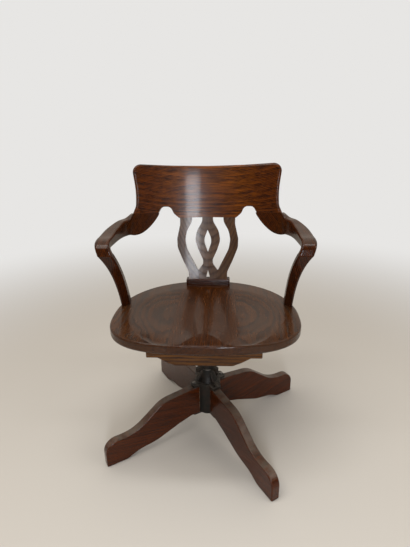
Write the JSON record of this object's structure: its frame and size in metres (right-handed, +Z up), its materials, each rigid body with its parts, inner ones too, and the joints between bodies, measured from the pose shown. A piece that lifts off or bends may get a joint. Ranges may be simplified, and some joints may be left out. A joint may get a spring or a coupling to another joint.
{
  "type": "swivel desk chair",
  "caption": "Wooden swivel armchair with a curved back panel, pierced splat, bent arms and a dished seat on an iron hub with crossed legs.",
  "frame": {"origin": "on the swivel axis at floor level", "axes": "+Z up along the swivel axis, -Y the way the sitter faces, +X to the right as seen from the front"},
  "size_m": [0.6316, 0.6316, 0.8685],
  "materials": {
    "crest_oak": "polished, golden brown in the middle",
    "arm_oak": "polished, very dark brown",
    "seat_oak": "polished, dark brown with reddish patches",
    "splat_oak": "worn satin, greyish brown",
    "bearer_oak": "satin, orange brown",
    "leg_oak": "polished, reddish brown, worn edges",
    "dowel_wood": "bare",
    "cast_iron": "rough, dusty",
    "steel": "dulled"
  },
  "bodies": {
    "base": {"hub_casting": "cast_iron", "lower_plate": "cast_iron", "ear_screws": "steel", "lower_plate_screws": "steel", "leg_rear_right": "leg_oak", "leg_rear_left": "leg_oak", "leg_front_left": "leg_oak", "leg_front_right": "leg_oak"},
    "collar": {"height_nut": "cast_iron", "thrust_washer": "steel"},
    "seat": {"seat": "seat_oak", "crest_panel": "crest_oak", "splat": "splat_oak", "splat_shoe": "splat_oak", "arm_rail_right": "arm_oak", "arm_rail_left": "arm_oak", "arm_post_right": "arm_oak", "arm_post_left": "arm_oak", "front_bearer": "bearer_oak", "rear_bearer": "bearer_oak", "seat_iron": "cast_iron", "spindle": "steel", "post_screws": "steel", "shoe_screws": "steel", "bearer_screws": "steel", "iron_screws": "steel", "panel_dowels": "dowel_wood", "knuckle_dowels": "dowel_wood", "spindle_pin": "steel"}
  },
  "joints": [
    {"name": "swivel", "type": "hinge", "parent": "base", "child": "collar", "pos_m": [0, 0, 0.23], "axis": [0, 0, 1], "continuous": true},
    {"name": "height", "type": "slide", "parent": "collar", "child": "seat", "axis": [0, 0, 1], "range_m": [-0.055, 0.06]}
  ]
}
